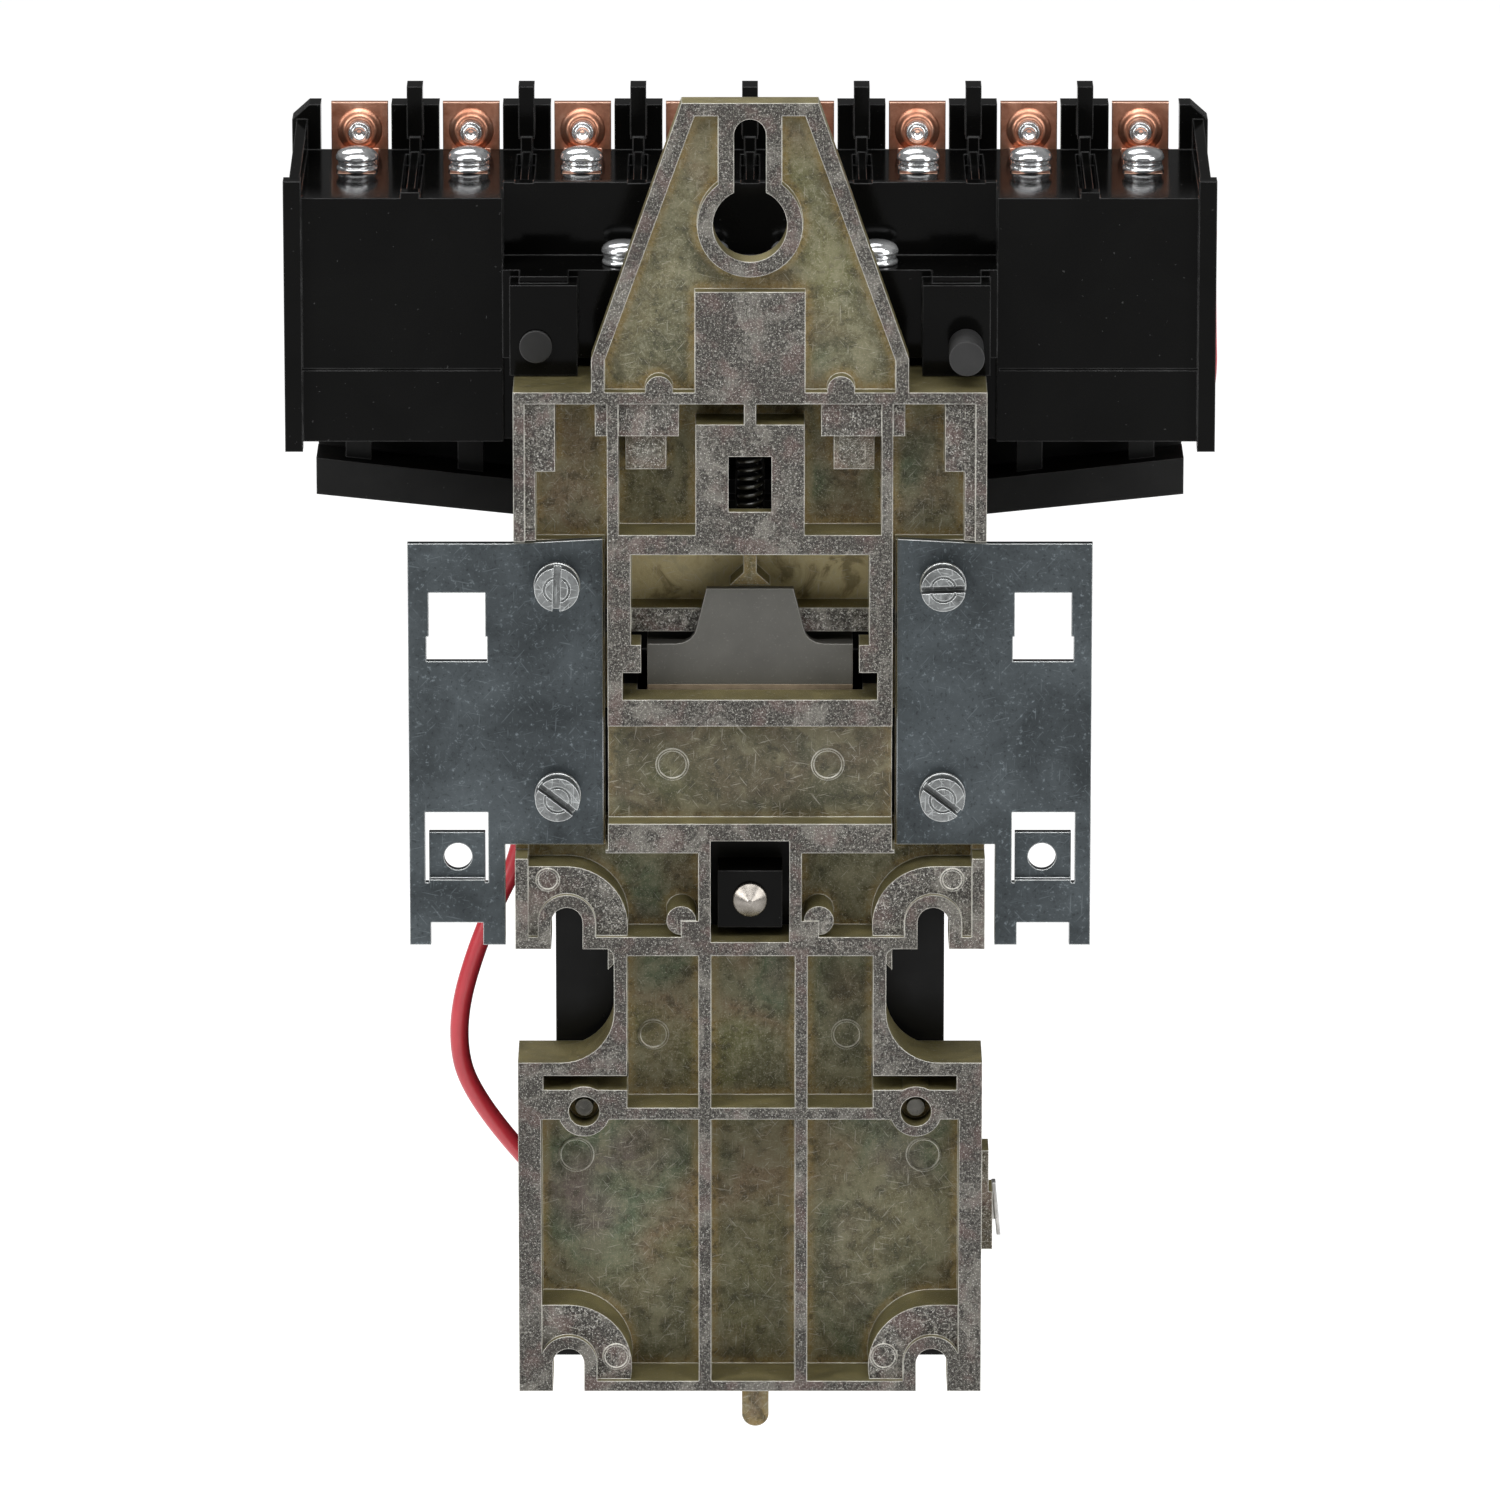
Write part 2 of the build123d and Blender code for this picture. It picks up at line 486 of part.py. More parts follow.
# ---- magnet: moving armature, fixed core, coil ----
stem_half = [
    (7.3, 41.1), (8.9, 34.6), (9.3, 33.3), (10.0, 32.4), (11.1, 31.75), (12.6, 31.5), (17.3, 31.5), (17.3, 24.5),
]
with BuildPart() as armature:
    plate(stem_half + [(-x, z) for x, z in reversed(stem_half)], arm_back, stem_front)
    block(-17.3, 17.3, 24.5, 31.5, stem_front - 0.5, stack_front)
    for s in sides:
        block(s * 12.0, s * 17.3, pole_face_z + magnet_gap, 25, stack_back, stack_front)
    block(-5.5, 5.5, pole_face_z + magnet_gap, 25, stack_back, stack_front)
    disc(0, arm_pin_z, 1.6, 12, stack_front + 1, mode=Mode.SUBTRACT)
finish(armature, "armature")

with BuildPart() as armature_pin:
    disc(0, arm_pin_z, 1.6, 12, beam_front)
finish(armature_pin, "armature_pin")

with BuildPart() as armature_strip:
    block(-17.3, 17.3, 22.9, 24.5, arm_back, 10.4)
finish(armature_strip, "armature_strip")

with BuildPart() as magnet_core:
    block(-17.6, 17.6, -34, -26, stack_back, stack_front)
    for s in sides:
        block(s * 12.0, s * 17.6, -27, pole_face_z, stack_back, stack_front)
    block(-5.5, 5.5, -27, pole_face_z, stack_back, stack_front)
    for s in sides:
        block(s * 11.9, s * 17.7, 6.4, 7.2, 20, 31, mode=Mode.SUBTRACT)
finish(magnet_core, "magnet_core")

with BuildPart() as coil_bobbin:
    block(-11.6, 11.6, -26, -24.8, 11.5, 39.5)
    block(-11.6, 11.6, 6.4, 7.6, 11.5, 39.5)
    block(-11.6, 11.6, -26, 7.6, 11.5, 12.3)
    block(-6.8, 6.8, -26, 7.6, 16.3, 34.7)
    block(-5.8, 5.8, -27, 9, stack_back - 0.3, stack_front + 0.3, mode=Mode.SUBTRACT)
finish(coil_bobbin, "coil_bobbin")

with BuildPart() as coil_winding:
    block(-11.0, 11.0, -24.8, 6.4, 12.5, 38.8)
    block(-6.8, 6.8, -26, 8, 16.3, 34.7, mode=Mode.SUBTRACT)
finish(coil_winding, "coil_winding")

with BuildPart() as guide_block:
    block(-5.45, 5.45, -16.8, -6.9, 3.0, 11.5)
    disc(0, -11.8, 1.4, 2, 8, mode=Mode.SUBTRACT)
finish(guide_block, "guide_block")

with BuildPart() as conical_pin:
    disc(0, -11.8, 1.4, 3.0, 8)
    disc(0, -11.8, 2.85, 2.0, 3.0)
    with Locations(Location((0, -1.25, -11.8), (-90, 0, 0))):
        Cone(2.85, 0.35, 1.5)
finish(conical_pin, "conical_pin")

# ---- black coil cover, control block below it ----
with BuildPart() as coil_cover:
    block(-cover_half_w, cover_half_w, cover_bottom, cover_top, cover_back, cover_front)
    fillet(coil_cover.faces().sort_by(Axis.Y)[0].edges(), radius=3)
    block(-31, 31, cover_bottom + 2, cover_top - 2, cover_back + 2.2, cover_front - 2.4, mode=Mode.SUBTRACT)
    block(-19, 19, -36, 30, cover_back - 1, 40.5, mode=Mode.SUBTRACT)
    block(-17.6, 17.6, -34, -27, stack_front, cover_front - 2)
    for s in sides:
        block(s * 8.0, s * 23.0, cover_top - 2, 42.0, 41.0, 43.0)
    for s in sides:
        disc(s * 28.1, -48.4, 1.6, cover_back - 1, cover_back + 3, mode=Mode.SUBTRACT)
finish(coil_cover, "coil_cover")

with BuildPart() as cover_screws:
    for s in sides:
        disc(s * 28.1, -48.4, 1.5, 2.5, cover_back + 2.3)
        disc(s * 28.1, -48.4, 2.9, cover_back + 2.2, cover_back + 5.0)
finish(cover_screws, "cover_screws")

with BuildPart() as control_block:
    block(-38.0, 38.0, -96.0, -61.0, box_depth + 0.2, 62.0)
    fillet(control_block.faces().sort_by(Axis.Y)[0].edges(), radius=2)
    for x in (-27, -9, 9, 27):
        block(x - 6, x + 6, -100, -84, 50, 64, mode=Mode.SUBTRACT)
finish(control_block, "control_block")

with BuildPart() as control_terminals:
    for x in (-27, -9, 9, 27):
        block(x - 4.5, x + 4.5, -95.2, -84.0, 50.0, 51.2)
finish(control_terminals, "control_terminals")

with BuildPart() as control_terminal_screws:
    for x in (-27, -9, 9, 27):
        disc(x, -90.0, 3.0, 51.2, 54.2)
        block(x - 4, x + 4, -90.5, -89.5, 53.2, 55, mode=Mode.SUBTRACT)
finish(control_terminal_screws, "control_terminal_screws")

with BuildPart() as coil_terminals:
    for s in sides:
        block(s * cover_half_w, s * 39.0, 16.0, 20.0, 27.0, 35.0)
finish(coil_terminals, "coil_terminals")

with BuildPart() as side_clip:
    plate([(-41.3, -65.9), (-42.0, -65.9), (-42.9, -75.2), (-42.2, -75.2)], 16.0, 18.5)
    block(-42.1, -38.0, -72.5, -68.5, 16.4, 18.1)
finish(side_clip, "side_clip")


def lead(points, label):
    """Round wire whose straight runs are joined by tangent arcs."""
    places = [Vector(x, -d, z) for x, d, z in points]
    radii = []
    for before, here, after in zip(places, places[1:], places[2:]):
        turn = math.radians((here - before).get_angle(after - here))
        shorter = min((here - before).length, (after - here).length)
        radii.append(0.45 * shorter / math.tan(turn / 2))
    with BuildPart() as wire:
        with BuildLine() as route:
            FilletPolyline(*places, radius=radii)
        path = route.wire()
        with BuildSketch(Plane(origin=path @ 0, z_dir=path % 0)):
            Circle(wire_r)
        sweep(path=path)
    expected = math.pi * wire_r**2 * path.length
    print(label, "radii", [round(r, 1) for r in radii], "length", round(path.length, 1))
    print(label, "volume share", round(wire.part.volume / expected, 4))
    finish(wire, label)


lead(
    [
        (36.5, 31, 16), (37.3, 31, -8), (45.8, 30, -24.5), (50.8, 30, -42), (47.8, 30.5, -55.5), (36.6, 32, -68.5),
    ],
    "control_wire_left",
)
lead(
    [
        (-63.5, 62.6, 101.2), (-63.9, 78.2, 103.2), (-79.4, 85, 95), (-78.9, 77, 76), (-79.3, 71, 56),
        (-68, 69, 50), (-53, 65.5, 51.5), (-37.2, 59, 48), (-36.8, 53.5, 31), (-36.5, 33.5, 19),
    ],
    "control_wire_right",
)
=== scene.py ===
import bpy
import bmesh
import json
import math
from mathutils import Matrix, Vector


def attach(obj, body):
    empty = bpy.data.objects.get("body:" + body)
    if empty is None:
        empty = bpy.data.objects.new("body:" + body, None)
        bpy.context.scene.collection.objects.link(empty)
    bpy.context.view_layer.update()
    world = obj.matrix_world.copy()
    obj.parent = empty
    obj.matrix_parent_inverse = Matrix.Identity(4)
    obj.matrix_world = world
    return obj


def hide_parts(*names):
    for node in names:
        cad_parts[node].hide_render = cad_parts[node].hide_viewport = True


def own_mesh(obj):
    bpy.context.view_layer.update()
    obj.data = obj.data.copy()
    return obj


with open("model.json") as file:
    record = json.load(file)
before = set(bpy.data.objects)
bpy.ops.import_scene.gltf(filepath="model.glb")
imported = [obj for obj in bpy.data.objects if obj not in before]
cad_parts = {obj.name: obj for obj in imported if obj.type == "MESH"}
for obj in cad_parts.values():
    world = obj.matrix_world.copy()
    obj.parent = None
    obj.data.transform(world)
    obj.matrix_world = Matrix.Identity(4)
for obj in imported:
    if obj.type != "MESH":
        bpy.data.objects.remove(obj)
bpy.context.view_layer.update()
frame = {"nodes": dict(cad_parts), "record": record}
NODES = frame["nodes"]
MM = 0.001

# ---------------------------------------------------------------- camera and studio
CAM_DIST = 2.1
CAM_TILT = math.radians(15)
AIM = Vector((0, 0, 0.015))
PX_PER_MM = 5.95
PHOTO_SIDE = 1500
SENSOR_MM = 36
CLIP_END = 20

cam_data = bpy.data.cameras.new("camera")
cam_data.lens = PX_PER_MM * 1000 * CAM_DIST / PHOTO_SIDE * SENSOR_MM
cam_data.sensor_width = SENSOR_MM
cam_data.clip_end = CLIP_END
cam = bpy.data.objects.new("camera", cam_data)
cam.location = AIM + Vector((0, math.cos(CAM_TILT), math.sin(CAM_TILT))) * CAM_DIST
cam.rotation_euler = (AIM - cam.location).to_track_quat("-Z", "Y").to_euler()
bpy.context.collection.objects.link(cam)
bpy.context.scene.camera = cam
bpy.context.scene.view_settings.view_transform = "Standard"
bpy.context.scene.view_settings.look = "None"


# ---------------------------------------------------------------- node material helper
class Shader:
    """Builds one node material; values may be numbers, tuples or sockets."""

    EDGE_SAMPLES = 6
    EDGE_TURN = (0.004, 0.10)

    def __init__(self, name):
        self.mat = bpy.data.materials.new(name)
        self.mat.use_nodes = True
        self.tree = self.mat.node_tree
        self.tree.nodes.clear()
        self.out = self.tree.nodes.new("ShaderNodeOutputMaterial")
        self.coords = self.tree.nodes.new("ShaderNodeTexCoord").outputs["Object"]
        self.rounded = None

    def put(self, socket, value):
        if isinstance(value, bpy.types.NodeSocket):
            self.tree.links.new(value, socket)
        elif isinstance(value, tuple) and len(value) == 3 and socket.type == "RGBA":
            socket.default_value = (*value, 1)
        else:
            socket.default_value = value

    def node(self, kind, props=None, **inputs):
        n = self.tree.nodes.new(kind)
        for key, value in (props or {}).items():
            setattr(n, key, value)
        for key, value in inputs.items():
            self.put(n.inputs[key.replace("_", " ")], value)
        return n

    def noise(self, scale, detail=4.0, rough=0.55, stretch=(1, 1, 1), shift=0.0, distortion=0.0):
        mapped = self.node("ShaderNodeMapping", Vector=self.coords, Scale=stretch, Location=(shift, shift, shift))
        n = self.node("ShaderNodeTexNoise", Vector=mapped.outputs[0], Scale=scale, Detail=detail, Roughness=rough,
                      Distortion=distortion)
        return n.outputs["Fac"]

    def ramp(self, value, stops):
        n = self.node("ShaderNodeValToRGB", Fac=value)
        e = n.color_ramp.elements
        while len(e) < len(stops):
            e.new(0.5)
        for item, (place, colour) in zip(e, stops):
            item.position = place
            item.color = (*colour, 1) if isinstance(colour, tuple) else (colour, colour, colour, 1)
        return n.outputs["Color"]

    def math(self, op, a, b=0.0, clamp=False):
        n = self.tree.nodes.new("ShaderNodeMath")
        n.operation = op
        n.use_clamp = clamp
        self.put(n.inputs[0], a)
        self.put(n.inputs[1], b)
        return n.outputs[0]

    def mix(self, fac, a, b):
        n = self.tree.nodes.new("ShaderNodeMix")
        n.data_type = "RGBA"
        self.put(n.inputs["Factor"], fac)
        self.put(n.inputs["A"], a)
        self.put(n.inputs["B"], b)
        return n.outputs["Result"]

    def axis(self, index):
        return self.node("ShaderNodeSeparateXYZ", Vector=self.coords).outputs[index]

    def between(self, value, low, high):
        """0 below low, 1 above high."""
        n = self.node("ShaderNodeMapRange", {"clamp": True, "interpolation_type": "SMOOTHSTEP"}, Value=value)
        n.inputs["From Min"].default_value = low
        n.inputs["From Max"].default_value = high
        return n.outputs[0]

    def band(self, value, rise, fall):
        """1 between two places of value, with a soft rise and a soft fall."""
        return self.math("MULTIPLY", self.between(value, *rise), self.between(value, *fall))

    def touch(self, mask, strength, colour, target):
        """Colour with a share of target where the mask is."""
        return self.mix(self.math("MULTIPLY", mask, strength), colour, target)

    def normal(self, index):
        true = self.node("ShaderNodeNewGeometry").outputs["Normal"]
        return self.node("ShaderNodeSeparateXYZ", Vector=true).outputs[index]

    def bump(self, height, strength, distance):
        n = self.node("ShaderNodeBump", Strength=strength, Distance=distance, Height=height)
        if self.rounded is not None:
            self.put(n.inputs["Normal"], self.rounded)
        return n.outputs[0]

    def edge(self, radius=0.0005):
        """Mask of the corners and edges, where a rounded normal leaves the true one."""
        soft = self.node("ShaderNodeBevel", {"samples": self.EDGE_SAMPLES}, Radius=radius).outputs[0]
        self.rounded = soft
        true = self.node("ShaderNodeNewGeometry").outputs["Normal"]
        dot = self.node("ShaderNodeVectorMath", {"operation": "DOT_PRODUCT"})
        self.put(dot.inputs[0], soft)
        self.put(dot.inputs[1], true)
        return self.between(self.math("SUBTRACT", 1.0, dot.outputs["Value"]), *self.EDGE_TURN)

    def finish(self, **inputs):
        p = self.node("ShaderNodeBsdfPrincipled")
        for key, value in inputs.items():
            self.put(p.inputs[key.replace("_", " ")], value)
        self.tree.links.new(p.outputs[0], self.out.inputs["Surface"])
        return self.mat


# ---------------------------------------------------------------- materials, scales are per metre
FINE_EDGE = 0.0003
SCRATCH_TURNS = (0.2, 0.9, 1.6, 2.3, 2.9)
SCRATCH_STRETCH = (0.07, 0.3, 1.0)

# places on the casting in metres: Y is minus the depth below the rear plane
RAISED_Y = (-0.0023, -0.0019)
BAR_RISE, BAR_FALL = (0.0329, 0.0333), (0.0376, 0.0373)
BAR_Y = (-0.0100, -0.0096)
CHANNEL_RISE, CHANNEL_FALL = (0.0018, 0.0022), (0.0194, 0.0190)
WINDOW_Y = (-0.0100, -0.0125)

SPECKLE = [
    (0.37, (0.006, 0.005, 0.005)),
    (0.47, (0.034, 0.031, 0.027)),
    (0.55, (0.078, 0.073, 0.064)),
    (0.67, (0.46, 0.45, 0.41)),
]
OLIVE = [
    (0.30, (0.060, 0.060, 0.034)),
    (0.46, (0.098, 0.094, 0.054)),
    (0.58, (0.124, 0.112, 0.062)),
    (0.74, (0.074, 0.078, 0.057)),
]
PASSIVE_FILM = [
    (0.36, (0.110, 0.108, 0.046)),
    (0.50, (0.150, 0.110, 0.066)),
    (0.60, (0.082, 0.106, 0.064)),
    (0.72, (0.116, 0.093, 0.080)),
]
# painted light: the side walls and the deep window floor get brighter copies of the olive and amber film, standing in
# for light that reaches them
WINDOW_AMBER_PAINTED_LIGHT = [(0.35, (0.40, 0.330, 0.170)), (0.65, (0.62, 0.540, 0.320))]
SIDE_WALL_PAINTED_LIGHT = [(0.35, (0.15, 0.130, 0.058)), (0.65, (0.25, 0.215, 0.100))]
COPPER = [(0.3, (0.30, 0.125, 0.075)), (0.52, (0.50, 0.245, 0.160)), (0.75, (0.70, 0.42, 0.31))]
STEEL = [(0.3, (0.064, 0.062, 0.056)), (0.7, (0.088, 0.086, 0.077))]
SHEET_T = 0.0009


def scaled(colour, factor):
    return tuple(min(1.0, c * factor) for c in colour)


def scratches(s, scale, low, high):
    """Fine straight lines in several directions on the faces that look along Y."""
    found = None
    for step, turn in enumerate(SCRATCH_TURNS):
        turned_to = s.node("ShaderNodeMapping", Vector=s.coords, Rotation=(0, turn, 0), Location=(step * 3.1, 0, step))
        thin = s.node("ShaderNodeMapping", Vector=turned_to.outputs[0], Scale=SCRATCH_STRETCH)
        n = s.node("ShaderNodeTexNoise", Vector=thin.outputs[0], Scale=scale, Detail=1.0, Roughness=0.4)
        line = s.between(n.outputs["Fac"], low, high)
        found = line if found is None else s.math("MAXIMUM", found, line)
    return found


def casting_material():
    """Speckled grey on the raised faces, olive and amber passivation in the pockets, painted light on the side walls
    and the deep window floor, painted highlights along the edges.
    """
    s = Shader("zinc_casting_look")
    depth = s.axis(1)
    height_z = s.axis(2)
    facing = s.between(s.normal(1), 0.55, 0.85)
    blotch = s.noise(150, 6, 0.65, distortion=0.8)
    grit = s.noise(3600, 3, 0.7)
    coarse = s.noise(1900, 6, 0.85, shift=0.3)
    bar = s.math("MULTIPLY", s.band(height_z, BAR_RISE, BAR_FALL), s.between(depth, *BAR_Y))
    raised = s.math("MULTIPLY", s.math("MAXIMUM", s.between(depth, *RAISED_Y), bar), facing)

    grey = s.ramp(coarse, SPECKLE)
    patch = s.noise(95, 5, 0.65, shift=4.0, distortion=1.2)
    grey = s.touch(s.between(patch, 0.50, 0.62), 0.42, grey, (0.215, 0.203, 0.178))
    grey = s.touch(s.between(patch, 0.47, 0.36), 0.60, grey, (0.034, 0.030, 0.026))
    pink = s.between(s.noise(190, 4, 0.6, shift=3.0), 0.48, 0.66)
    grey = s.touch(pink, 0.40, grey, (0.135, 0.085, 0.078))
    grey = s.touch(s.between(grit, 0.57, 0.66), 0.65, grey, (0.62, 0.61, 0.57))

    olive = s.ramp(s.noise(60, 5, 0.6, distortion=0.6), OLIVE)
    film = s.ramp(s.noise(48, 2, 0.4, shift=2.0), PASSIVE_FILM)
    pocket = s.mix(s.between(s.noise(34, 3, 0.5, shift=5.0), 0.42, 0.62), olive, film)
    pocket = s.touch(s.edge(0.0034), 0.70, pocket, (0.27, 0.185, 0.066))
    mottle = s.noise(420, 5, 0.7, shift=8.0)
    pocket = s.touch(s.between(mottle, 0.50, 0.64), 0.35, pocket, (0.240, 0.225, 0.160))
    pocket = s.touch(s.between(mottle, 0.48, 0.36), 0.60, pocket, (0.030, 0.027, 0.018))
    pocket = s.touch(s.between(coarse, 0.52, 0.70), 0.65, pocket, (0.33, 0.31, 0.24))
    pocket = s.touch(s.between(coarse, 0.46, 0.34), 0.65, pocket, (0.020, 0.018, 0.012))
    pocket = s.touch(s.between(grit, 0.58, 0.68), 0.50, pocket, (0.50, 0.48, 0.38))
    pocket = s.touch(s.band(height_z, CHANNEL_RISE, CHANNEL_FALL), 0.50, pocket, (0.036, 0.037, 0.030))
    # amber passivation, brightened as painted light where the deep magnet window floor lies in shade
    pocket = s.touch(s.between(depth, *WINDOW_Y), 0.85, pocket, s.ramp(blotch, WINDOW_AMBER_PAINTED_LIGHT))
    pocket = s.touch(s.between(blotch, 0.50, 0.62), 0.40, pocket, (0.210, 0.195, 0.125))
    pocket = s.touch(s.between(blotch, 0.46, 0.36), 0.45, pocket, (0.038, 0.034, 0.020))
    # painted light: faces that do not look along Y get paler olive wall colours, as if lit from above
    pocket = s.mix(facing, s.ramp(blotch, SIDE_WALL_PAINTED_LIGHT), pocket)

    colour = s.mix(raised, pocket, grey)
    colour = s.touch(scratches(s, 4200, 0.72, 0.76), 0.30, colour, (0.50, 0.48, 0.42))
    # painted highlight: the casting's edges are lightened toward pale grey, as if they catch the light
    edge = s.edge(0.00028)
    colour = s.touch(edge, s.ramp(blotch, [(0.35, 0.30), (0.55, 0.85)]), colour, (0.66, 0.65, 0.59))
    rough_pocket = s.ramp(blotch, [(0.3, 0.34), (0.7, 0.50)])
    rough = s.mix(raised, rough_pocket, s.ramp(coarse, [(0.3, 0.55), (0.7, 0.36)]))
    relief = s.math("ADD", s.math("MULTIPLY", coarse, 1.0), s.math("MULTIPLY", grit, 0.35))
    return s.finish(Base_Color=colour, Metallic=0.70, Roughness=rough, Normal=s.bump(relief, 0.55, 0.00028))


def plated_material(name, tint, cloud_scale, rough, scratched, speck):
    """Zinc plating: soft clouds, fine specks and thin scratches."""
    s = Shader(name)
    cloud = s.noise(cloud_scale, 5, 0.6, distortion=0.4)
    fine = s.noise(1250, 5, 0.75, shift=1.7)
    pale = scaled(tint, 3.2)
    colour = s.ramp(cloud, [(0.32, scaled(tint, 0.62)), (0.5, tint), (0.70, scaled(tint, 1.45))])
    colour = s.touch(s.between(fine, 0.56, 0.70), speck, colour, pale)
    colour = s.touch(s.between(fine, 0.44, 0.34), 0.5, colour, scaled(tint, 0.3))
    colour = s.touch(scratches(s, 3000, 0.69, 0.75), scratched, colour, pale)
    # painted highlight: the edges are lightened toward pale grey
    colour = s.touch(s.edge(FINE_EDGE), 0.75, colour, (0.66, 0.68, 0.68))
    roughness = s.ramp(cloud, [(0.3, rough * 1.2), (0.7, rough * 0.85)])
    return s.finish(Base_Color=colour, Metallic=0.85, Roughness=roughness, Normal=s.bump(fine, 0.22, 0.00012))


def phenolic_material(name, base, rough, grain=1600, specular=0.14, rim=0.07):
    """Dark moulding with a little dust and a painted highlight along the edges."""
    s = Shader(name)
    fine = s.noise(grain, 3, 0.6)
    cloud = s.noise(60, 4, 0.55, distortion=0.5)
    colour = s.ramp(cloud, [(0.3, scaled(base, 0.7)), (0.7, scaled(base, 1.3))])
    dust = s.between(s.noise(1300, 2, 0.5, shift=3.1), 0.74, 0.78)
    colour = s.touch(dust, 0.25, colour, (0.10, 0.10, 0.10))
    # painted highlight: the edges are lightened toward the rim grey by a patchy share
    edge_highlight_share = s.ramp(s.noise(220, 4, 0.6, shift=6.0), [(0.35, 0.35), (0.6, 0.95)])
    colour = s.touch(s.edge(0.00035), edge_highlight_share, colour, (rim, rim, rim))
    roughness = s.ramp(s.noise(85, 5, 0.6, shift=1.0), [(0.3, rough * 0.75), (0.7, rough * 1.3)])
    return s.finish(
        Base_Color=colour, Roughness=roughness, Specular_IOR_Level=specular, Normal=s.bump(fine, 0.06, 0.00008),
    )


def copper_material():
    s = Shader("copper_look")
    cloud = s.noise(240, 5, 0.6, distortion=0.4)
    # painted highlight: the edges are lightened toward pale copper
    colour = s.touch(s.edge(FINE_EDGE), 0.7, s.ramp(cloud, COPPER), (0.80, 0.56, 0.44))
    line = s.noise(1500, 2, 0.5, stretch=(1, 1, 0.05))
    rough = s.ramp(cloud, [(0.3, 0.44), (0.7, 0.30)])
    return s.finish(Base_Color=colour, Metallic=0.92, Roughness=rough, Normal=s.bump(line, 0.18, 0.0001))


def lamination_material():
    """Stacked steel sheets, whose lines show only on the faces that look sideways."""
    s = Shader("lamination_look")
    layers = s.node("ShaderNodeMath", {"operation": "SINE"})
    s.put(layers.inputs[0], s.math("MULTIPLY", s.axis(1), 2 * math.pi / SHEET_T))
    line = s.between(layers.outputs[0], 0.55, 0.95)
    line = s.math("MULTIPLY", line, s.between(s.math("ABSOLUTE", s.normal(1)), 0.7, 0.3))
    colour = s.mix(line, s.ramp(s.noise(90, 5, 0.6), STEEL), (0.030, 0.028, 0.024))
    # painted highlight: the edges are lightened toward grey
    colour = s.touch(s.edge(FINE_EDGE), 0.6, colour, (0.36, 0.35, 0.33))
    grain = s.noise(2600, 3, 0.6)
    colour = s.touch(s.between(grain, 0.60, 0.72), 0.18, colour, (0.26, 0.25, 0.23))
    return s.finish(Base_Color=colour, Metallic=0.45, Roughness=0.50, Normal=s.bump(grain, 0.12, 0.00008))


def plain_material(name, dark, light, rough, metallic=0.0, scale=300, bump=0.15, coat=0.0):
    s = Shader(name)
    colour = s.ramp(s.noise(scale, 5, 0.6), [(0.3, dark), (0.7, light)])
    # painted highlight: the edges are lightened above the light colour
    colour = s.touch(s.edge(FINE_EDGE), 0.3, colour, tuple(min(1, c * 1.8 + 0.05) for c in light))
    fine = s.noise(scale * 7, 3, 0.6, shift=1.0)
    roughness = s.ramp(fine, [(0.3, rough * 0.85), (0.7, rough * 1.15)])
    return s.finish(
        Base_Color=colour, Metallic=metallic, Roughness=roughness, Coat_Weight=coat, Normal=s.bump(fine, bump, 0.0001),
    )


LOOKS = {
    "zinc_casting": casting_material(),
    "zinc_plated_steel": plated_material("bracket_look", (0.052, 0.061, 0.066), 70, 0.38, 0.30, 0.75),
    "zinc_screw": plated_material("screw_look", (0.68, 0.69, 0.70), 260, 0.16, 0.1, 0.05),
    "black_phenolic": phenolic_material("phenolic_look", (0.0018, 0.0018, 0.0017), 0.12, specular=0.07, rim=0.045),
    "carrier_phenolic": phenolic_material("carrier_look", (0.009, 0.009, 0.0088), 0.45),
    "cover_phenolic": phenolic_material("cover_look", (0.0030, 0.0030, 0.0030), 0.34),
    "peg_plastic": phenolic_material("peg_look", (0.02, 0.02, 0.02), 0.5, grain=500),
    "copper": copper_material(),
    "silver": plain_material("silver_look", (0.60, 0.60, 0.58), (0.82, 0.82, 0.80), 0.35, 0.95),
    "spring_steel": plain_material("spring_look", (0.05, 0.05, 0.05), (0.13, 0.13, 0.125), 0.32, 0.9),
    "lamination_steel": lamination_material(),
    "brown_laminate": plain_material("brown_look", (0.085, 0.062, 0.038), (0.15, 0.115, 0.075), 0.6, 0.0, 400),
    "bobbin_nylon": phenolic_material("bobbin_look", (0.012, 0.012, 0.012), 0.4),
    "enamelled_copper": plain_material("winding_look", (0.18, 0.06, 0.02), (0.34, 0.14, 0.05), 0.35, 0.5, 900),
    "nickel": plain_material("nickel_look", (0.15, 0.135, 0.12), (0.28, 0.26, 0.235), 0.26, 0.95, 600, 0.08),
    "brass_terminal": plain_material("brass_look", (0.42, 0.30, 0.12), (0.66, 0.50, 0.24), 0.34, 0.95, 250),
    "red_pvc": plain_material(
        "red_pvc_look", (0.36, 0.018, 0.028), (0.46, 0.030, 0.042), 0.36, scale=130, bump=0.10, coat=0.15,
    ),
}

# nodes that look unlike the rest of their material slot: a pale clip and duller screws
OWN_LOOKS = {
    "side_clip": plated_material("clip_look", (0.40, 0.39, 0.38), 200, 0.35, 0.1, 0.2),
    "cover_screws": plated_material("boss_screw_look", (0.085, 0.082, 0.074), 300, 0.40, 0.2, 0.4),
    "bracket_screws": plated_material("head_look", (0.165, 0.172, 0.172), 300, 0.30, 0.5, 0.35),
}
slot_of = {item["node"]: item["material_slot"] for item in frame["record"]["subparts"]}
for name, obj in NODES.items():
    look = OWN_LOOKS.get(name, LOOKS[slot_of[name]])
    obj.data.materials.clear()
    obj.data.materials.append(look)

# ---------------------------------------------------------------- red control wires
WIRE_D = 3.2 * MM


